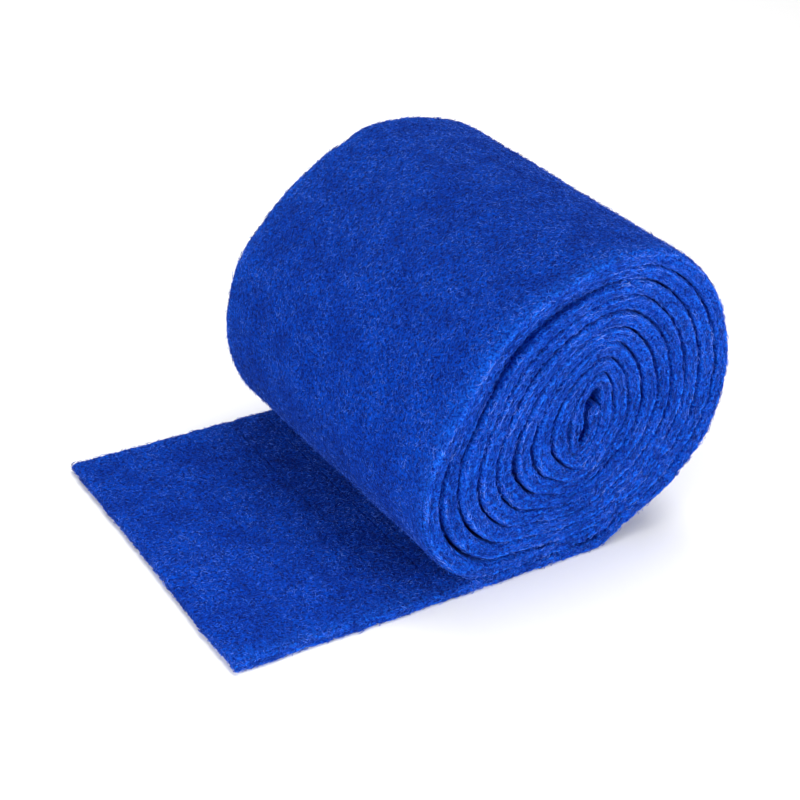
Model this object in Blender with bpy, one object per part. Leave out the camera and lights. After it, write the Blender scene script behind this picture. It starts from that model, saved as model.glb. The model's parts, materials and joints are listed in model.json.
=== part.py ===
"""Roll of bonded fibre filter mat for a pond or aquarium filter, with its loose end laid out.

One long strip of mat is wound round a flattened core fold and stands on its own weight.
Each stretch of the strip is its own object: the core fold, the turns of the roll, the
stretch that the roll rests on, and the segments of the loose flap, which lift towards
the roll one after the other.

Frame, in metres: +Z up, Y along the roll's axis with the strip centred on Y = 0, the flap
towards -X.  The origin is on the floor, straight below the core fold.
"""
import math

import bpy
from mathutils import Vector

# Driving sizes of the mat
STRIP_WIDTH = 0.200
MAT_THICKNESS = 0.007
CUT_GAP = 0.0003             # clearance between neighbouring stretches and turns

# Driving sizes of the roll
TURNS = 9                    # turns from the core fold to where the strip meets the floor
LOOSE_GAP = 0.0011           # mean air gap between two turns
FOLD_HALF_LENGTH = 0.020     # outside of the flattened core fold
FOLD_HALF_WIDTH = 0.008
SLIT_HALF_LENGTH = 0.0155    # opening left inside the fold
SLIT_HALF_WIDTH = 0.0015
FOLD_LEAN = math.radians(15)  # top of the fold leans towards +X
INNER_END = -0.4             # turn count at the strip's inner end, tucked inside the fold
ROLL_SAG = 0.010             # how far the soft roll has settled on its underside
FLOOR_LEAD = 0.006           # how far past the axis the strip already lies on the floor
SAG_BLEND = 0.004            # radial length over which the settled flat runs into the round
# The slack roll is not quite round: lobes, cosine part and sine part, counted from straight
# down by way of the flap's side
UNEVENNESS = (
    (1, -0.0004, 0.0068),
    (2, -0.0029, 0.0100),
    (3, -0.0028, 0.0001),
    (4, -0.0013, -0.0005),
    (5, 0.0010, -0.0006),
)

# Driving sizes of the flap
FLAP_REACH = 0.188           # from the roll's axis to the cut end
FLAP_SEGMENTS = 6
FLAP_CLEARANCE = 0.003       # room above the flap where it leaves the roll

STATIONS_PER_TURN = 48       # facets of a turn
FLEECE_COLOUR = (0.012, 0.08, 0.45, 1.0)
WOUND_COLOUR = (0.008, 0.05, 0.33, 1.0)

FOLD_MEAN = (FOLD_HALF_LENGTH + FOLD_HALF_WIDTH) / 2
ROLL_RADIUS = FOLD_MEAN + TURNS * (MAT_THICKNESS + LOOSE_GAP)
AXIS_HEIGHT = ROLL_RADIUS - ROLL_SAG


def smooth_min(a, b, blend):
    """Smaller of two lengths, rounded off where they are within one blend of each other."""
    overlap = max(blend - abs(a - b), 0.0)
    return min(a, b) - overlap * overlap / (4 * blend)


def fold_radius(psi, half_length, half_width):
    """Half size of a leaning oval in the direction psi from straight down."""
    along = math.cos(psi - FOLD_LEAN) / half_length
    across = math.sin(psi - FOLD_LEAN) / half_width
    return 1 / math.hypot(along, across)


def limit_radius(psi):
    """Outside of the wound strip if every turn were the last one, flat on the floor."""
    radius = ROLL_RADIUS
    for lobes, cosine, sine in UNEVENNESS:
        radius += cosine * math.cos(lobes * psi) + sine * math.sin(lobes * psi)
    if math.cos(psi) < 0.2:
        return radius
    return smooth_min(radius, AXIS_HEIGHT / math.cos(psi), SAG_BLEND)


def layer(turn):
    """Outer and inner point of the wound mat, as (x, z), so many turns from the core fold."""
    psi = 2 * math.pi * (turn - TURNS)
    fold = fold_radius(psi, FOLD_HALF_LENGTH, FOLD_HALF_WIDTH)
    slit = fold_radius(psi, SLIT_HALF_LENGTH, SLIT_HALF_WIDTH)
    pitch = (limit_radius(psi) - fold) / TURNS
    outer = fold + pitch * turn
    inner = max(slit, outer - min(MAT_THICKNESS, pitch - CUT_GAP))
    return [(-radius * math.sin(psi), AXIS_HEIGHT - radius * math.cos(psi)) for radius in (outer, inner)]


def wound_outline(first, last):
    """Closed outline of the wound mat between two turn counts, trimmed at both cuts."""
    steps = max(2, round((last - first) * STATIONS_PER_TURN))
    trimmed = []
    for turn, inward in ((first, 1), (last, -1)):
        here, ahead = (Vector(layer(turn + shift * inward)[0]) for shift in (0, 0.001))
        trimmed.append(turn + inward * 0.001 * (CUT_GAP / 2) / (ahead - here).length)
    turns = [trimmed[0]] + [first + (last - first) * i / steps for i in range(1, steps)] + [trimmed[1]]
    sides = [layer(turn) for turn in turns]
    return [side[0] for side in sides] + [side[1] for side in reversed(sides)]


def flat_outline(start, end, thickness, start_lean=0.0):
    """Closed outline of a straight stretch on the floor, from start towards -X."""
    right, left = start - CUT_GAP / 2, end + CUT_GAP / 2
    return [(right, 0.0), (right - start_lean, thickness), (left, thickness), (left, 0.0)]


def mat_material(name, colour):
    """Matt blue polyester fleece."""
    material = bpy.data.materials.new(name)
    material.use_nodes = True
    shader = material.node_tree.nodes["Principled BSDF"]
    shader.inputs["Base Color"].default_value = colour
    shader.inputs["Roughness"].default_value = 0.95
    shader.inputs["Metallic"].default_value = 0.0
    material.diffuse_color = colour
    return material


def stretch(name, outline, pivot, material, collection):
    """One stretch of the strip: a flat outline across the roll, extruded to the strip's width."""
    curve = bpy.data.curves.new(name, "CURVE")
    curve.dimensions = "2D"
    curve.fill_mode = "BOTH"
    curve.extrude = STRIP_WIDTH / 2
    spline = curve.splines.new("POLY")
    spline.points.add(len(outline) - 1)
    for point, (x, z) in zip(spline.points, outline):
        point.co = (x - pivot[0], z - pivot[1], 0.0, 1.0)
    spline.use_cyclic_u = True
    curve.materials.append(material)
    piece = bpy.data.objects.new(name, curve)
    piece.rotation_euler = (math.pi / 2, 0.0, 0.0)
    piece.location = (pivot[0], 0.0, pivot[1])
    collection.objects.link(piece)
    return piece


def flap_root():
    """Distance from the axis, along the floor, at which the roll's underside clears the flap."""
    turn = TURNS - 1
    while layer(turn)[0][1] < MAT_THICKNESS + FLAP_CLEARANCE:
        turn += 0.001
    return -layer(turn)[0][0]


def room_under_roll():
    """Least height of the roll's underside over the stretch that it presses down."""
    quarter = STATIONS_PER_TURN // 4
    return min(layer(TURNS - 1 + i / STATIONS_PER_TURN)[0][1] for i in range(quarter))


def hinge_places():
    """X of each flap hinge, from the roll outwards, and of the cut end after the last."""
    root = flap_root()
    length = (FLAP_REACH - root) / FLAP_SEGMENTS
    return [-(root + length * i) for i in range(FLAP_SEGMENTS + 1)]


for old in list(bpy.data.objects):
    bpy.data.objects.remove(old, do_unlink=True)

roll = bpy.data.collections.new("filter_mat_roll")
bpy.context.scene.collection.children.link(roll)
fleece = mat_material("polyester_fleece", FLEECE_COLOUR)
wound = mat_material("polyester_fleece_wound", WOUND_COLOUR)
axis = (0.0, AXIS_HEIGHT)

# The wound strip, from the inside out
touch_down = TURNS - math.atan(FLOOR_LEAD / AXIS_HEIGHT) / (2 * math.pi)
stretch("core_fold", wound_outline(INNER_END, 1), axis, wound, roll)
for number in range(1, TURNS):
    stretch(f"turn_{number}", wound_outline(number, min(number + 1, touch_down)), axis, wound, roll)

# The stretch under the roll, pressed down by it, from the touch-down to the first hinge
hinges = hinge_places()
pressed = room_under_roll() - CUT_GAP
cut_lean = pressed * FLOOR_LEAD / AXIS_HEIGHT    # the cut at the touch-down points at the fold
floor_outline = flat_outline(FLOOR_LEAD, hinges[0], pressed, cut_lean)
stretch("floor_stretch", floor_outline, (0.0, 0.0), fleece, roll)

# The loose flap: each segment turns about the top edge that it shares with the one before
bearer = None
for number, (start, end) in enumerate(zip(hinges, hinges[1:]), 1):
    segment = stretch(f"flap_{number}", flat_outline(start, end, MAT_THICKNESS),
                      (start, MAT_THICKNESS), fleece, roll)
    if bearer:
        bpy.context.view_layer.update()
        segment.parent = bearer
        segment.matrix_parent_inverse = bearer.matrix_world.inverted()
    bearer = segment
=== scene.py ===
import json
import math

import bpy
import numpy as np
from mathutils import Euler, Matrix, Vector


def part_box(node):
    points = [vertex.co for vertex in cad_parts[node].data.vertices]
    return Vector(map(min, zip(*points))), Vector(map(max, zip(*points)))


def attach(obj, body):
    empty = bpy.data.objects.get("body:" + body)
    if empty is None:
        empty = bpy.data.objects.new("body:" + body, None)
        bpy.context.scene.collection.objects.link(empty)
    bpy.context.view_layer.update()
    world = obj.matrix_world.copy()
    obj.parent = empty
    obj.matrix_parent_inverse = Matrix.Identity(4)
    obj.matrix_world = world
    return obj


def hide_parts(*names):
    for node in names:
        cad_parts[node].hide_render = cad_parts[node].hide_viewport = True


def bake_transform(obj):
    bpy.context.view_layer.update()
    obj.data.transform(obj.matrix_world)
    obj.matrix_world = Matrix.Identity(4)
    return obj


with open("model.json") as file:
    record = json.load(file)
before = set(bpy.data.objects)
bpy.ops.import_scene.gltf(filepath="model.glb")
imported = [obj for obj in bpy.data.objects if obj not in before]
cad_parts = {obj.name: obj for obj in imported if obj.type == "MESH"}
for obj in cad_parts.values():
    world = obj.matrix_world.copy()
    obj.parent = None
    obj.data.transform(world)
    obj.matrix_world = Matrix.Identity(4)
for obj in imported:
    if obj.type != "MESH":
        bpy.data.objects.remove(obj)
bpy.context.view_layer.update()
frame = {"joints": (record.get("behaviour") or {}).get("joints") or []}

# --- Core fold ----------------------------------------------------------------------------
# The inner end of one strip of bonded polyester fleece, folded on itself to start the roll.
# The strip is slit from a wider web and wound slackly by hand, so the roll sags to an oval,
# lies flat on the floor and bulges where its turns have slipped.
MM = 0.001
WIDTH = 200 * MM              # of the strip
HALF = WIDTH / 2
TURNS = 9
OUTER = TURNS - 1             # where the outer turn begins
INNER_END = -0.4              # where the strip's inner end lies, in turns from the fold
FOLD = (20 * MM, 8 * MM)      # half length and half width of the innermost fold
SLIT = (14.5 * MM, 0.5 * MM)  # and of the slit left inside it
LEAN = math.radians(15)       # of the fold from upright
AXIS_HEIGHT = 76.9 * MM       # of the middle of the fold
ROLL_RADIUS = 86.9 * MM       # on average
SAG_BLEND = 4 * MM            # over which the roll rounds off to its flat underside
LOFT = 10 * MM                # what the mat swells to where the winding leaves it room
FREE = 5.4 * MM               # loft of the flap, which the pack has pressed flat
PRESSED = 5.2 * MM            # loft under the roll
AIR = 0.1 * MM                # least air between two turns
SLACK = 0.12                  # mean slack beyond that, in mm
SLACK_WAVES = (1.7, 0.61)     # in a turn: how often the slack comes and goes
GAP_INSIDE = 0.6              # share of a gap that is taken from the turn inside it
FAR_SPREAD = 0.05             # how much wider the slacker far end has spread
HINGES = [joint["pos_m"][0] for joint in frame["joints"]]
FLAP_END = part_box("flap_6")[0][0]

# Unevenness of the outline: number of waves round it, and their cosine and sine sizes in mm
UNEVEN = ((1, -0.4, 6.8), (2, -2.9, 10.0), (3, -2.8, 0.1), (4, -1.3, -0.5), (5, 1.0, -0.6))
# Open gaps between one turn and the next: turns from the core, spread in turns, width in mm
GAPS = (
    (7.31, 0.15, 2.2), (7.10, 0.05, 1.9), (6.15, 0.05, 1.3), (5.17, 0.04, 0.8), (4.19, 0.04, 0.6),
    (3.21, 0.05, 2.2), (2.20, 0.05, 1.0), (6.33, 0.05, 0.5), (4.75, 0.07, 0.4), (3.72, 0.09, 0.5),
    (2.68, 0.09, 0.6), (1.70, 0.08, 0.5), (1.20, 0.06, 0.5),
)
# Bulges of the whole roll at each end: degrees from straight down by way of the flap, spread
# in degrees, mm out
NEAR_BULGES = ((221, 13, -1.0), (262, 16, 1.1), (290, 18, 0.7), (320, 12, 1.2), (344, 13, -2.1))
FAR_BULGES = ((66, 14, -1.6), (104, 17, 5.0), (143, 12, -1.6), (176, 9, 2.6), (205, 14, -2.0),
              (344, 13, -2.0))


def swells(value, table):
    """Sum of smooth swells, each given by its place, its spread and its size."""
    return sum(size * np.exp(-((value - where) / spread) ** 2) for where, spread, size in table)


def oval(psi, half_length, half_width):
    """Half size of a leaning oval in the direction psi from straight down."""
    return 1 / np.hypot(np.cos(psi - LEAN) / half_length, np.sin(psi - LEAN) / half_width)


def outside(psi):
    """Radius of the slack roll, flat where it has settled on the floor."""
    radius = ROLL_RADIUS + sum(MM * (c * np.cos(n * psi) + s * np.sin(n * psi)) for n, c, s in UNEVEN)
    least_slope = 0.2         # keeps the floor at a finite distance in every direction
    floor = AXIS_HEIGHT / np.maximum(np.cos(psi), least_slope)
    overlap = np.maximum(SAG_BLEND - np.abs(radius - floor), 0)
    return np.minimum(radius, floor) - overlap ** 2 / (4 * SAG_BLEND)


def gap_after(turn):
    """Width of the slack between this turn and the next one out."""
    phase = 2 * math.pi * turn
    wander = SLACK * (1 + np.sin(SLACK_WAVES[0] * phase) * np.sin(SLACK_WAVES[1] * phase + 1))
    return MM * (wander + swells(turn, GAPS)) * np.clip((OUTER - turn) / 0.3, 0, 1)


def middle(turn):
    """Middle of the wound mat, half its loft along the radius, and the radius's direction."""
    psi = 2 * math.pi * (turn - TURNS)
    fold = oval(psi, *FOLD)
    pitch = (outside(psi) - fold) / TURNS
    given_up = GAP_INSIDE * gap_after(turn)
    outer = fold + pitch * turn - AIR / 2 - given_up
    room = pitch - AIR - given_up - (1 - GAP_INSIDE) * gap_after(turn - 1)
    inner = np.maximum(oval(psi, *SLIT), outer - np.minimum(LOFT, room))
    radius = (outer + inner) / 2
    point = np.stack([-radius * np.sin(psi), AXIS_HEIGHT - radius * np.cos(psi)], -1)
    return point, (outer - inner) / 2, np.stack([-np.sin(psi), -np.cos(psi)], -1)


def wound(turn):
    """Middle of the wound mat, its outward normal and its half loft."""
    point, half, radial = middle(turn)
    step = 2e-4
    along = middle(turn + step)[0] - middle(turn - step)[0]
    along /= np.linalg.norm(along, axis=-1, keepdims=True)
    normal = np.stack([along[..., 1], -along[..., 0]], -1)
    lean = np.sum(normal * radial, -1, keepdims=True)
    return point, normal * np.sign(lean), half * np.abs(lean[..., 0])


STEPS_A_TURN = 2000           # at which the length of the winding is measured
turn_table = np.linspace(INNER_END, TURNS, round((TURNS - INNER_END) * STEPS_A_TURN) + 1)
steps = np.linalg.norm(np.diff(middle(turn_table)[0], axis=0), axis=1)
length_table = np.concatenate([[0], np.cumsum(steps)])
WOUND_LENGTH = length_table[-1]
TOTAL_LENGTH = WOUND_LENGTH - FLAP_END


def length_at(turn):
    """Length of the strip from its inner end to a turn."""
    return float(np.interp(turn, turn_table, length_table))


def turn_at(length):
    """Turn that the strip has reached at a length from its inner end."""
    return np.interp(length, length_table, turn_table)


def blend_in(value, start, end):
    """0 before start, 1 after end, and smooth between."""
    share = np.clip((value - start) / (end - start), 0, 1)
    return share * share * (3 - 2 * share)


SETTLING = 30 * MM            # last of the outer turn, which runs down into the floor stretch
REGAINED = (40 * MM, 80 * MM)  # how far out from the roll the flap regains its loft


def run(length):
    """Middle point (x, z), outward normal and half loft at each length along the strip."""
    point, normal, half = wound(turn_at(length))
    out = length - WOUND_LENGTH
    flat_half = (PRESSED + (FREE - PRESSED) * blend_in(out, *REGAINED)) / 2
    settled = blend_in(out, -SETTLING, 0)
    half = half + (flat_half - half) * settled
    height = point[..., 1] + (flat_half - point[..., 1]) * settled
    x = np.where(out > 0, -out, point[..., 0])
    down = np.stack([np.zeros_like(out), -np.ones_like(out)], -1)
    normal = np.where((out > 0)[..., None], down, normal)
    return np.stack([x, height], -1), normal, half


WIDENING = 35 * MM            # last of the outer turn, over which the far end's spread dies away
LEVELLING = 25                # degrees short of the floor over which the bulges die away
CLEARANCE = 0.02 * MM         # least air between the mat and the floor


def place(length, across, height):
    """World place of points given along, across and through the mat.

    Along is the length from the innermost end, across is from the middle, and height is off
    mid-thickness towards the outer side of the roll, which is the flap's underside.
    """
    point, normal, _ = run(length)
    turn = turn_at(length)
    on_roll = blend_in(WOUND_LENGTH - length, 0, WIDENING)
    far = blend_in(across, -HALF, HALF)
    angle = np.degrees(2 * math.pi * (turn - TURNS)) % 360
    bulge = swells(angle, NEAR_BULGES) * (1 - far) + swells(angle, FAR_BULGES) * far
    off_floor = blend_in(360 - angle, 0, LEVELLING)
    off_core = np.clip(turn / TURNS, 0, 1) ** 1.5
    bulge = bulge * MM * off_floor * off_core
    x = (point[..., 0] + normal[..., 0] * (height + bulge)) * (1 + FAR_SPREAD * far * on_roll)
    z = point[..., 1] + normal[..., 1] * (height + bulge)
    return np.stack(np.broadcast_arrays(x, across, np.maximum(z, CLEARANCE)), -1)


TABLE = 256                   # random values along each side of a table of lumps


def lumps(a, b, size, seed):
    """Smooth random lumps of a given size over two lengths, between -1 and 1."""
    table = np.random.default_rng(seed).uniform(-1, 1, (TABLE, TABLE))
    a, b = np.broadcast_arrays(a / size, b / size)
    i, j = np.floor(a).astype(int), np.floor(b).astype(int)
    u, v = a - i, b - j
    u, v = u * u * (3 - 2 * u), v * v * (3 - 2 * v)
    i, j, k, m = i % TABLE, j % TABLE, (i + 1) % TABLE, (j + 1) % TABLE
    low = table[i, j] * (1 - u) + table[k, j] * u
    high = table[i, m] * (1 - u) + table[k, m] * u
    return low * (1 - v) + high * v


def rough(a, b, scales, seed):
    """Lumps of several sizes at once, each given by its amount and its size."""
    return sum(amount * lumps(a, b, size, seed + n) for n, (amount, size) in enumerate(scales))


# Wander of a slit edge in mm, and over what length: from the winding down to single fibres
EDGE_WANDER = ((1.0, 70 * MM), (0.5, 19 * MM), (0.4, 5 * MM), (0.3, 1.4 * MM))
EDGE_SEED = {-1: 11, 1: 41}   # -1 is the near edge and 1 the far one
# Where a slit edge has slipped out or in: turns from the core, spread in turns, mm out
SLIPPED = {-1: ((8.36, 0.17, 2.4), (7.4, 0.2, -2.8)), 1: ((8.36, 0.17, 0.6),)}
OUTER_PROUD = 1.2             # mm that the whole outer turn stands out
FLAP_PROUD = {-1: 0.9, 1: -3.8}


def edge_line(length, edge):
    """How far a slit edge stands out (+) or in (-): the knife's wander and the winding's."""
    turn = turn_at(length)
    line = rough(length, 0, EDGE_WANDER, EDGE_SEED[edge]) + swells(turn, SLIPPED[edge])
    on_outer = blend_in(turn, OUTER - 0.05, OUTER + 0.15) * blend_in(TURNS - turn, -0.02, 0.2)
    on_flap = blend_in(turn, TURNS - 0.1, TURNS)
    return MM * (line + OUTER_PROUD * on_outer + FLAP_PROUD[edge] * on_flap)


PACKED_EDGE = 1.6 * MM        # rounding of a slit edge that its neighbours keep square
FREE_EDGE = 3.0 * MM          # and of one that nothing holds
TORN_SKINS = ((0.66, 0.17, 0.95), (-0.7, 0.2, 0.3))   # share of the half loft, spread, mm proud
CORE_IN = 0.3 * MM            # how far the cut draws in between its two skins
THINNER = 0.12                # share of the loft lost right at an edge
THIN_OVER = 5 * MM            # and how far in from the edge that dies away
SOFT = 2.4                    # power of a soft rounding, a little fuller than a circle's 2


def rounding(length):
    """Rounding of a slit edge: soft where it is free, squarer where it is packed."""
    return PACKED_EDGE + (FREE_EDGE - PACKED_EDGE) * blend_in(turn_at(length), OUTER - 0.1, OUTER + 0.1)


def edge_profile(length, share):
    """How far the edge draws in at a share of the half loft, with its two skins proud."""
    drawn = rounding(length) * (1 - (1 - np.minimum(np.abs(share), 1) ** 3) ** (1 / 2.2))
    return drawn - MM * swells(share, TORN_SKINS) + CORE_IN


def crest(share):
    """How teased out the fibres are over the cut, and how much highlight is painted on it: most along
    the outer skin's torn rim, which the light falls on.
    """
    return swells(share, ((0.68, 0.25, 1.0), (-0.75, 0.2, 0.4)))


def round_off(share):
    """Share of the full height on a soft rounding: 0 at its rim, and 1 once past it."""
    return (1 - (1 - np.clip(share, 0, 1)) ** SOFT) ** (1 / SOFT)


def fullness(length, inset):
    """Share of the full loft at a distance in from the edge."""
    thinned = 1 - THINNER * np.exp(-np.maximum(inset, 0) / THIN_OVER)
    return round_off(inset / rounding(length)) * thinned


END_ROUNDING = 2.4 * MM       # of the cut end
END_PROUD = 0.9               # mm that the cut end stands out
END_SKEW = 0.6                # mm that it is out of square at either edge
END_WANDER = ((0.6, 60 * MM), (0.4, 9 * MM), (0.4, 1.6 * MM))


def end_share(length):
    """Share of the loft left near the cut end, which is rounded like the slit edges."""
    return round_off((TOTAL_LENGTH - length) / END_ROUNDING)


def end_line(across):
    """How far the hand-cut end stands out (+) or in (-)."""
    return MM * (END_PROUD + END_SKEW * across / HALF + rough(across, 0, END_WANDER, 71))


# Lumps of a skin: mm high, and how wide
SKIN_LUMPS = ((0.20, 1.1 * MM), (0.20, 2.6 * MM), (0.20, 7 * MM), (0.40, 24 * MM))


def skin_height(length, across, side):
    """Height of a skin of the mat (side 1 outer, -1 inner) with its lumps."""
    edge_near = HALF + edge_line(length, -1) + across
    edge_far = HALF + edge_line(length, 1) - across
    full = fullness(length, np.minimum(edge_near, edge_far)) * end_share(length)
    _, _, half = run(length)
    return side * full * (half + MM * rough(length, across, SKIN_LUMPS, 21))


COARSE = 20 * MM              # between points across a face that no one sees
EDGE_INSETS = [inset * MM for inset in (1.8, 2.7, 3.6, 4.6, 5.8, 7, 8.5)]
HIDDEN_INSETS = [inset * MM for inset in (12, 22, 50)]
EVEN_FROM = 10 * MM           # inset from which the points of a face that is seen lie evenly


def section(outer_pitch, inner_pitch):
    """Points round the mat's cross-section: (side, edge, on the edge, share or inset)."""
    shares = np.sin(np.linspace(0, math.pi / 2, 9)[:-1])
    loop = []
    for side, pitch in ((1, outer_pitch), (-1, inner_pitch)):
        even = list(np.arange(EVEN_FROM, HALF - pitch / 2, pitch))
        insets = EDGE_INSETS + (HIDDEN_INSETS if pitch == COARSE else even)
        half_row = [(True, share) for share in shares[1:]] + [(False, inset) for inset in insets]
        row = [(side, -1, *p) for p in half_row] + [(side, 0, False, HALF)]
        row += [(side, 1, *p) for p in half_row[::-1]]
        if side < 0:
            row = row[::-1]
        loop += [(side, -side, True, 0.0)] + row
    return loop


FOLLOWS = 14 * MM             # how far in the skins still follow the wander of an edge


def mat(name, start, end, step, outer_pitch, inner_pitch):
    """A closed length of the mat, from start to end along the strip."""
    row_lengths = np.linspace(start, end, max(2, round((end - start) / step)) + 1)
    if end == TOTAL_LENGTH:
        rounded = end - END_ROUNDING * (1 - np.sin(np.linspace(0, math.pi / 2, 7)))
        row_lengths = np.concatenate([row_lengths[row_lengths < rounded[0] - step / 2], rounded])
    length = row_lengths[:, None]
    side, edge, on_edge, value = (np.array(v)[None] for v in zip(*section(outer_pitch, inner_pitch)))
    _, _, half = run(length)
    line = np.where(edge < 0, edge_line(length, -1), edge_line(length, 1))
    share = side * value
    # Tufts left by the knife, and streaks of them along the cut
    ragged = MM * (0.4 * lumps(length, share * half, 1.1 * MM, 25)
                   + 0.5 * lumps(length / 4, share * half, 0.9 * MM, 26))
    edge_across = edge * (HALF + line - edge_profile(length, share) + ragged)
    edge_height = share * half * (1 - THINNER) * end_share(length)
    inset = np.where(on_edge, 0, value)
    skin_across = np.where(edge == 0, 0, edge * (HALF - inset + line * np.exp(-inset / FOLLOWS)))
    across = np.where(on_edge, edge_across, skin_across)
    height = np.where(on_edge, edge_height, skin_height(length, skin_across, side))
    pull = end_line(across) * np.exp(-np.maximum(TOTAL_LENGTH - length, 0) / FOLLOWS)
    points = place(length + pull, across, height)
    rows, ring = points.shape[:2]
    index = np.arange(rows * ring).reshape(rows, ring)
    here, ahead = index[:-1], index[1:]
    quads = np.stack([here, np.roll(here, -1, 1), np.roll(ahead, -1, 1), ahead], -1)
    faces = quads.reshape(-1, 4).tolist() + [index[0][::-1].tolist(), index[-1].tolist()]
    mesh = bpy.data.meshes.new(name)
    mesh.from_pydata(points.reshape(-1, 3).tolist(), [], faces)
    mesh.shade_smooth()
    for cap in (-2, -1):
        mesh.polygons[cap].use_smooth = False
    # The cut is teased out most, and the skins only right beside it; this also paints a highlight along
    # the cut's crests and the skins' rims, where light catches them
    on_cut = 0.7 + crest(share)
    on_skin = 1.1 * np.exp(-inset / THIN_OVER)
    teased_and_lit_here = np.where(on_edge, on_cut, on_skin)
    teased_and_lit = mesh.attributes.new("teased_and_lit", "FLOAT", "POINT")
    teased_and_lit.data.foreach_set("value", np.broadcast_to(teased_and_lit_here, height.shape).astype("f").ravel())
    mesh.materials.append(FLEECE)
    piece = bpy.data.objects.new(name, mesh)
    bpy.context.scene.collection.objects.link(piece)
    return piece


def colour(hex_value):
    """An sRGB hex colour as linear RGBA."""
    channels = [int(hex_value[i:i + 2], 16) / 255 for i in (0, 2, 4)]
    return [c / 12.92 if c <= 0.04045 else ((c + 0.055) / 1.055) ** 2.4 for c in channels] + [1.0]


def add(tree, kind, settings=(), links=(), **values):
    """One node with its properties, input values and incoming links."""
    node = tree.nodes.new(kind)
    for key, value in dict(settings).items():
        setattr(node, key, value)
    for key, value in values.items():
        node.inputs[key.replace("_", " ")].default_value = value
    for key, source in dict(links).items():
        tree.links.new(source, node.inputs[key])
    return node


def ramp(node, *stops):
    """Set a colour ramp's stops from (position, hex colour), the first and last given first."""
    elements = node.color_ramp.elements
    for number, (position, hex_value) in enumerate(stops):
        element = elements[number] if number < 2 else elements.new(position)
        element.position = position
        element.color = colour(hex_value)
    return node.outputs["Color"]


CLOUD = 18 * MM               # patches where the fibres lie denser or looser
GRAIN = 1.25 * MM             # gaps between fibres, twice the real size so that they show
FIRST, SECOND = 6, 7          # a mix node's colour inputs


def fleece_material():
    """Air-laid, bonded fleece: matt and speckled, with dark gaps between fibres that catch light.

    Where the knife has teased it open its fibre tips are paler, and the same paler colour paints a
    highlight along the cut's crests and the skins' rims.
    """
    material = bpy.data.materials.new("air-laid polyester fleece, bonded")
    material.use_nodes = True
    tree = material.node_tree
    shader = tree.nodes["Principled BSDF"]
    where = add(tree, "ShaderNodeTexCoord").outputs["Object"]
    teased_and_lit = add(tree, "ShaderNodeAttribute", {"attribute_name": "teased_and_lit"}).outputs["Fac"]
    clouds = add(tree, "ShaderNodeTexNoise", links={"Vector": where}, Scale=1 / CLOUD, Detail=3.0)
    grain = add(tree, "ShaderNodeTexNoise", links={"Vector": where}, Scale=1 / GRAIN, Detail=2.0,
                Roughness=0.6, Distortion=0.6)
    speckle = ramp(add(tree, "ShaderNodeValToRGB", links={"Fac": grain.outputs["Fac"]}),
                   (0.36, "001868"), (0.66, "044ED0"))
    patch = ramp(add(tree, "ShaderNodeValToRGB", links={"Fac": clouds.outputs["Fac"]}),
                 (0.32, "C4CADC"), (0.68, "FFFFFF"))
    # Paler fibre tips where teased, also used as the painted highlight along crests and rims
    tips_and_highlight = ramp(add(tree, "ShaderNodeValToRGB", links={"Fac": grain.outputs["Fac"]}),
                (0.38, "0430A8"), (0.63, "2478F8"))
    both = add(tree, "ShaderNodeMix", {"data_type": "RGBA", "blend_type": "MULTIPLY"},
               links={FIRST: speckle, SECOND: patch}, Factor=1.0)
    teased_and_lit_share = add(tree, "ShaderNodeMath", {"operation": "MULTIPLY", "use_clamp": True},
                     links={0: teased_and_lit})
    teased_and_lit_share.inputs[1].default_value = 0.5
    paler = add(tree, "ShaderNodeMix", {"data_type": "RGBA"},
                links={"Factor": teased_and_lit_share.outputs[0], FIRST: both.outputs[2], SECOND: tips_and_highlight})
    relief = add(tree, "ShaderNodeBump", links={"Height": grain.outputs["Fac"]}, Strength=0.9,
                 Distance=1.2 * MM)
    tree.links.new(paler.outputs[2], shader.inputs["Base Color"])
    tree.links.new(relief.outputs["Normal"], shader.inputs["Normal"])
    shader.inputs["Roughness"].default_value = 0.95
    shader.inputs["IOR"].default_value = 1.5
    shader.inputs["Specular IOR Level"].default_value = 0.02
    shader.inputs["Sheen Weight"].default_value = 0.1
    shader.inputs["Sheen Roughness"].default_value = 0.5
    shader.inputs["Sheen Tint"].default_value = colour("80A8FF")
    return material


FLEECE = fleece_material()


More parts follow.
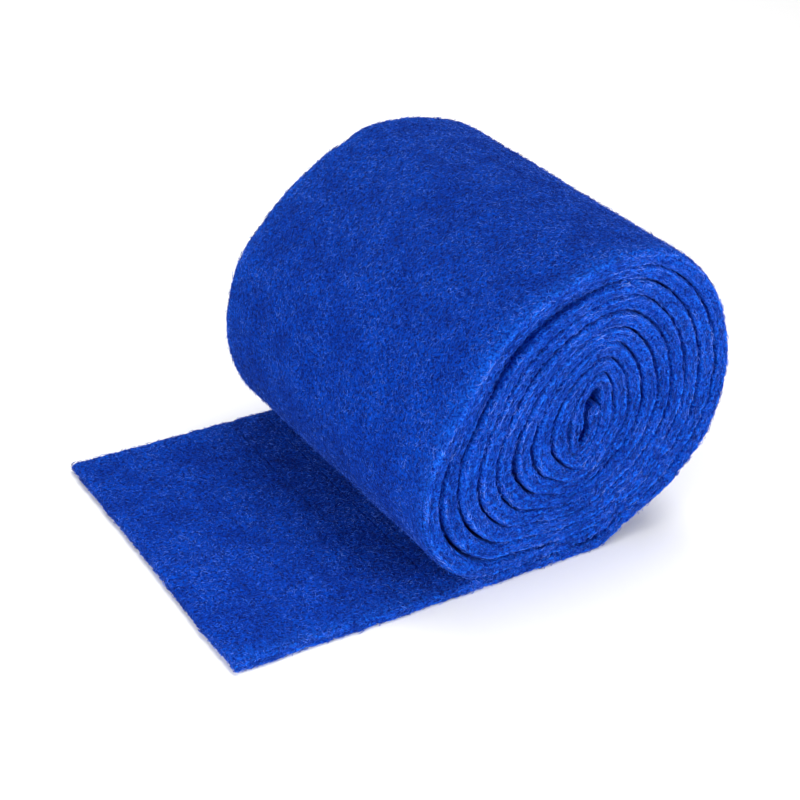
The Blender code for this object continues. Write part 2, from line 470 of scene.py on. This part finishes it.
def staple_material():
    """Crimped staple, dyed in the mass: every fibre has its own shade, and the palest few are painted
    glints.

    More of them are pale where the mat is both cloudy and teased out, and along the crests and rims
    where a highlight is painted.
    """
    material = bpy.data.materials.new("crimped polyester staple, dyed in the mass")
    material.use_nodes = True
    tree = material.node_tree
    shader = tree.nodes["Principled BSDF"]
    each = add(tree, "ShaderNodeNewGeometry").outputs["Random Per Island"]
    where = add(tree, "ShaderNodeTexCoord").outputs["Object"]
    teased_and_lit = add(tree, "ShaderNodeAttribute", {"attribute_name": "teased_and_lit"}).outputs["Fac"]
    clouds = add(tree, "ShaderNodeTexNoise", links={"Vector": where}, Scale=1 / CLOUD, Detail=3.0)
    deep = ramp(add(tree, "ShaderNodeValToRGB", links={"Fac": each}),
                (0.0, "001260"), (1.0, "2468E8"), (0.65, "0440C0"))
    # The palest shades, mixed in where the mat is cloudy and where teased fibres and the painted
    # highlight lie
    pale_lit_shades = ramp(add(tree, "ShaderNodeValToRGB", links={"Fac": each}),
                 (0.0, "041C74"), (1.0, "7CA4FC"), (0.55, "1C58DC"))
    share = add(tree, "ShaderNodeMapRange", links={"Value": clouds.outputs["Fac"]}, From_Min=0.38,
                From_Max=0.6)
    paler_and_lit = add(tree, "ShaderNodeMath", {"operation": "MULTIPLY", "use_clamp": True},
                links={0: share.outputs["Result"], 1: teased_and_lit})
    shades = add(tree, "ShaderNodeMix", {"data_type": "RGBA"},
                 links={"Factor": paler_and_lit.outputs[0], FIRST: deep, SECOND: pale_lit_shades})
    tree.links.new(shades.outputs[2], shader.inputs["Base Color"])
    shader.inputs["Roughness"].default_value = 0.7
    shader.inputs["IOR"].default_value = 1.57
    shader.inputs["Specular IOR Level"].default_value = 0.05
    shader.inputs["Sheen Weight"].default_value = 0.2
    shader.inputs["Sheen Roughness"].default_value = 0.5
    shader.inputs["Sheen Tint"].default_value = colour("80A8FF")
    return material


STAPLE = staple_material()
CORNERS = 3                   # a fibre is a thin spindle, three-cornered across
SPINDLE_POINTS = 8            # its two tips and two rings of three


def spindles(name, paths, radius, paler_and_lit):
    """One mesh of closed thin fibres along paths, an array of fibres by 4 points by xyz.

    Real staple is 0.03 to 0.06 mm thick, which is too fine to show, so it is drawn thicker.
    The last argument is how teased out each fibre is, and how much painted highlight it takes.
    """
    count = len(paths)
    along = paths[:, 2:] - paths[:, :2]
    along /= np.linalg.norm(along, axis=-1, keepdims=True) + 1e-12
    side = np.cross(along, [0.31, 0.83, 0.47])   # a direction that hardly any fibre lies in
    side /= np.linalg.norm(side, axis=-1, keepdims=True) + 1e-12
    other = np.cross(along, side)
    rings = [paths[:, 1:3] + radius[:, None, None] * (math.cos(a) * side + math.sin(a) * other)
             for a in (0, 2 * math.pi / 3, 4 * math.pi / 3)]
    points = np.concatenate([paths[:, :1], rings[0][:, :1], rings[1][:, :1], rings[2][:, :1],
                             rings[0][:, 1:], rings[1][:, 1:], rings[2][:, 1:], paths[:, 3:]], 1)
    one = [(0, 1 + (k + 1) % CORNERS, 1 + k) for k in range(CORNERS)]
    one += [(7, 4 + k, 4 + (k + 1) % CORNERS) for k in range(CORNERS)]
    one += [(1 + k, 1 + (k + 1) % CORNERS, 4 + (k + 1) % CORNERS) for k in range(CORNERS)]
    one += [(1 + k, 4 + (k + 1) % CORNERS, 4 + k) for k in range(CORNERS)]
    first = SPINDLE_POINTS * np.arange(count)[:, None, None]
    faces = (np.array(one)[None] + first).reshape(-1, 3)
    mesh = bpy.data.meshes.new(name)
    mesh.from_pydata(points.reshape(-1, 3).tolist(), [], faces.tolist())
    mesh.shade_smooth()
    # Each fibre has its own square of the texture map, so an exported copy keeps its shade.
    squares = math.ceil(math.sqrt(count))
    corner = np.stack([np.arange(count) % squares, np.arange(count) // squares], -1)
    triangle = np.array([(0.1, 0.1), (0.9, 0.1), (0.1, 0.9)])
    spots = (corner[:, None, None] + np.broadcast_to(triangle, (count, len(one), 3, 2))) / squares
    mesh.uv_layers.new(name="OFBake").data.foreach_set("uv", spots.astype("f").ravel())
    teased_and_lit = mesh.attributes.new("teased_and_lit", "FLOAT", "POINT")
    teased_and_lit.data.foreach_set("value", np.repeat(paler_and_lit, SPINDLE_POINTS).astype("f"))
    mesh.materials.append(STAPLE)
    piece = bpy.data.objects.new(name, mesh)
    bpy.context.scene.collection.objects.link(piece)
    return piece


SPREAD = np.array([-1.0, -0.36, 0.36, 1.0])   # where the four points lie along half a fibre
ASTRAY = 0.25                 # share of the fibres with one end standing off the mat


def strands(random, count, start, end, longest, turned):
    """Random fibres as lengths along and across, and their lift, each at four points.

    Turned is how far they turn from the strip's length, in radians.  A fibre's ends are
    tucked into the mat and its middle stands off, unless it has gone astray.
    """
    reach = random.uniform(0.35, 1.0, (count, 1)) * longest / 2
    heading = random.normal(0, turned, (count, 1))
    curl = random.normal(0, 0.6, (count, 1)) * reach
    bow = 1 - SPREAD ** 2
    along = random.uniform(start, end, (count, 1)) + reach * SPREAD * np.cos(heading)
    along = along + curl * bow * np.sin(heading)
    aside = reach * SPREAD * np.sin(heading) - curl * bow * np.cos(heading)
    lift = MM * (-0.15 + random.uniform(0.2, 0.6, (count, 1)) * bow)
    stray = random.uniform(0, 1, (count, 1)) < ASTRAY
    lift = lift + np.where(stray, MM * random.uniform(0.3, 1.2, (count, 1)) * (SPREAD + 1) / 2, 0)
    return np.clip(along, start, end), aside, lift


def skin_fuzz(name, seed, start, end, side, per_mm2=0.5, longest=3.2 * MM):
    """Fibres over one skin of the mat between two lengths, lying every way."""
    random = np.random.default_rng(seed)
    count = int((end - start) * WIDTH / MM ** 2 * per_mm2)
    along, aside, lift = strands(random, count, start, end, longest, 3.0)
    across = random.uniform(-HALF, HALF, (count, 1)) + aside
    across = np.clip(across, -HALF - edge_line(along, -1), HALF + edge_line(along, 1))
    height = skin_height(along, across, side) + side * lift
    # Paler near the slit edges: teased fibres and a painted highlight on the rim
    paler_and_lit = 0.4 + 0.3 * np.exp(-(HALF - np.abs(across[:, 1])) / THIN_OVER)
    radius = MM * random.uniform(0.09, 0.16, count)
    return spindles(name, place(along, across, height), radius, paler_and_lit)


def edge_fuzz(name, seed, start, end, per_mm=9.0, longest=5.5 * MM):
    """Fibres over both slit edges of the mat between two lengths, mostly along the cut."""
    random = np.random.default_rng(seed)
    count = int((end - start) / MM * per_mm * 2)
    along, aside, lift = strands(random, count, start, end, longest, 0.7)
    _, _, half = run(along)
    edge = np.where(np.arange(count)[:, None] % 2, 1, -1)
    share = np.clip(random.uniform(-1, 1, (count, 1)) + 0.7 * aside / half, -1, 1)
    line = np.where(edge < 0, edge_line(along, -1), edge_line(along, 1))
    across = edge * (HALF + line - edge_profile(along, share) + lift)
    height = (1 - THINNER) * share * (half + lift) * end_share(along)
    radius = MM * random.uniform(0.09, 0.15, count)
    # Paler along the crests: teased fibres and a painted highlight
    return spindles(name, place(along, across, height), radius, 0.2 + crest(share[:, 1]))


ROW = 1.0 * MM                # between rows of points along the inner turns
core = mat("core_mat", 0.0, length_at(1), ROW, COARSE, COARSE)
core_fuzz = edge_fuzz("core_fuzz", 200, 0.0, length_at(1))
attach(core, "roll")
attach(core_fuzz, "roll")
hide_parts("core_fold")

# --- Inner turns --------------------------------------------------------------------------
# The strip goes on round the fold, each turn lying on the one before.  Only its slit edges
# show: soft, fibrous ridges with a thin dark groove wherever two turns don't quite touch.
for number in range(1, TURNS - 1):
    start, end = length_at(number), length_at(number + 1)
    turn = mat(f"turn_{number}_mat", start, end, ROW, COARSE, COARSE)
    fuzz = edge_fuzz(f"turn_{number}_fuzz", 200 + number, start, end)
    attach(turn, "roll")
    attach(fuzz, "roll")
    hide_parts(f"turn_{number}")

# --- Outer turn ---------------------------------------------------------------------------
# The last turn, slack enough to stand off the one inside it.  Its whole outer skin shows:
# matt and cloudy, with fibres lying every way and a softer rim at each slit edge, paler for its teased
# fibres and a painted highlight.
FINE = 1.2 * MM               # between points over a skin that is seen
start, end = length_at(TURNS - 1), WOUND_LENGTH
outer_turn = mat("turn_8_mat", start, end, FINE, FINE, COARSE)
QUARTER = (end - start) / 4
outer_fuzz = [skin_fuzz(f"turn_8_skin_fuzz_{part + 1}", 101 + part, start + part * QUARTER,
                        start + (part + 1) * QUARTER, 1) for part in range(4)]
outer_fuzz.append(edge_fuzz("turn_8_edge_fuzz", 208, start, end))
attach(outer_turn, "roll")
for piece in outer_fuzz:
    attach(piece, "roll")
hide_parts("turn_8")

# --- Floor stretch ------------------------------------------------------------------------
# Where the strip leaves the roll it lies under it, pressed to the floor by its weight, and
# comes out on the flap's side.
UNDER = WOUND_LENGTH + 50 * MM
floor_stretch = mat("floor_mat", WOUND_LENGTH, UNDER, FINE, COARSE, FINE)
floor_fuzz = edge_fuzz("floor_fuzz", 209, WOUND_LENGTH, UNDER)
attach(floor_stretch, "roll")
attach(floor_fuzz, "roll")
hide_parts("floor_stretch")

# --- Flap ---------------------------------------------------------------------------------
# The loose outer end, lying flat on the floor and free to be lifted and rolled back.  It is
# one continuous mat; each length here has a hinge in its middle.
between = [WOUND_LENGTH - (a + b) / 2 for a, b in zip(HINGES, HINGES[1:])]
CUTS = [UNDER, *between, TOTAL_LENGTH]


def end_fuzz(name, seed, count=1600, longest=4 * MM):
    """Fibres along the cut end."""
    random = np.random.default_rng(seed)
    across, out, lift = strands(random, count, -HALF, HALF, longest, 0.8)
    across = np.clip(across, -HALF - edge_line(TOTAL_LENGTH, -1), HALF + edge_line(TOTAL_LENGTH, 1))
    share = np.clip(random.uniform(-1, 1, (count, 1)) + 0.7 * out / (FREE / 2), -1, 1)
    back = END_ROUNDING * (1 - np.sqrt(1 - np.abs(share) ** SOFT))
    along = TOTAL_LENGTH + end_line(across) - back + lift
    height = share * FREE / 2
    radius = MM * random.uniform(0.09, 0.15, count)
    # Paler along the crests: teased fibres and a painted highlight
    return spindles(name, place(along, across, height), radius, 0.2 + crest(share[:, 1]))


for number in range(6):
    start, end = CUTS[number], CUTS[number + 1]
    name = f"flap_{number + 1}"
    flap = mat(f"{name}_mat", start, end, FINE, FINE, FINE)
    fuzz = [skin_fuzz(f"{name}_top_fuzz", 300 + number, start, end, -1),
            skin_fuzz(f"{name}_under_fuzz", 330 + number, start, end, 1),
            edge_fuzz(f"{name}_edge_fuzz", 310 + number, start, end)]
    if end == TOTAL_LENGTH:
        fuzz.append(end_fuzz(f"{name}_end_fuzz", 320))
    for piece in [flap, *fuzz]:
        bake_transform(piece)
    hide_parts(name)

# --- Studio -------------------------------------------------------------------------------
# A white card floor before a white wall, and soft, broad lamps, so that the fleece is lit
# from all round and only the crease under the roll falls dark.
CARD = 1.0                    # half the side of the card, in metres
floor_mesh = bpy.data.meshes.new("floor")
corners = [(-CARD, -CARD, 0), (CARD, -CARD, 0), (CARD, CARD, 0), (-CARD, CARD, 0)]
floor_mesh.from_pydata(corners, [], [(0, 1, 2, 3)])
floor = bpy.data.objects.new("floor", floor_mesh)
bpy.context.scene.collection.objects.link(floor)
card = bpy.data.materials.new("matt white card")
card.use_nodes = True
card.node_tree.nodes["Principled BSDF"].inputs["Base Color"].default_value = colour("F4F4F4")
card.node_tree.nodes["Principled BSDF"].inputs["Roughness"].default_value = 0.9
floor_mesh.materials.append(card)

# The wall shows white but gives only a faint light.
bpy.context.scene.view_settings.view_transform = "Standard"
world = bpy.data.worlds.new("studio")
bpy.context.scene.world = world
world.use_nodes = True
world_tree = world.node_tree
behind = add(world_tree, "ShaderNodeMapRange",
             links={"Value": add(world_tree, "ShaderNodeLightPath").outputs["Is Camera Ray"]},
             To_Min=0.2, To_Max=1.0)
world_tree.nodes["Background"].inputs["Color"].default_value = (1, 1, 1, 1)
world_tree.links.new(behind.outputs["Result"], world_tree.nodes["Background"].inputs["Strength"])

# A wide, even light comes from overhead, as through a diffuser.
overhead_data = bpy.data.lights.new("overhead", "SUN")
overhead_data.energy = 1.7
overhead_data.angle = math.radians(33)
overhead = bpy.data.objects.new("overhead", overhead_data)
overhead.rotation_euler = (0, math.radians(19), math.radians(18))
bpy.context.scene.collection.objects.link(overhead)
AIM = (0, 0, 0.05)            # low in the middle of the roll


def lamp(name, stand, size, power):
    """A square soft box, facing the roll from where it stands."""
    data = bpy.data.lights.new(name, "AREA")
    data.size = size
    data.energy = power
    light = bpy.data.objects.new(name, data)
    light.location = stand
    away = np.array(stand) - np.array(AIM)
    light.rotation_euler = (math.atan2(math.hypot(away[0], away[1]), away[2]), 0,
                            math.atan2(away[1], away[0]) + math.pi / 2)
    bpy.context.scene.collection.objects.link(light)


lamp("front", (0.5, -1.0, 0.33), 0.6, 12)
lamp("flap side", (-0.9, -0.4, 0.35), 0.5, 8.3)
lamp("back", (0.1, 1.0, 0.8), 0.8, 6.3)

# The camera looks down over the flap's near corner into the end of the roll.
LOOK_DOWN = 29.72             # degrees below level
LOOK_ASIDE = -30.41           # degrees from the line of the winding's axis
TILT = 0.41
camera_data = bpy.data.cameras.new("camera")
camera_data.lens = 77.7
camera = bpy.data.objects.new("camera", camera_data)
level = Euler((math.radians(90 - LOOK_DOWN), 0, math.radians(LOOK_ASIDE))).to_matrix()
camera.matrix_world = (level @ Matrix.Rotation(math.radians(TILT), 3, "Z")).to_4x4()
camera.location = (-0.4330, -0.6608, 0.4881)
bpy.context.scene.collection.objects.link(camera)
bpy.context.scene.camera = camera
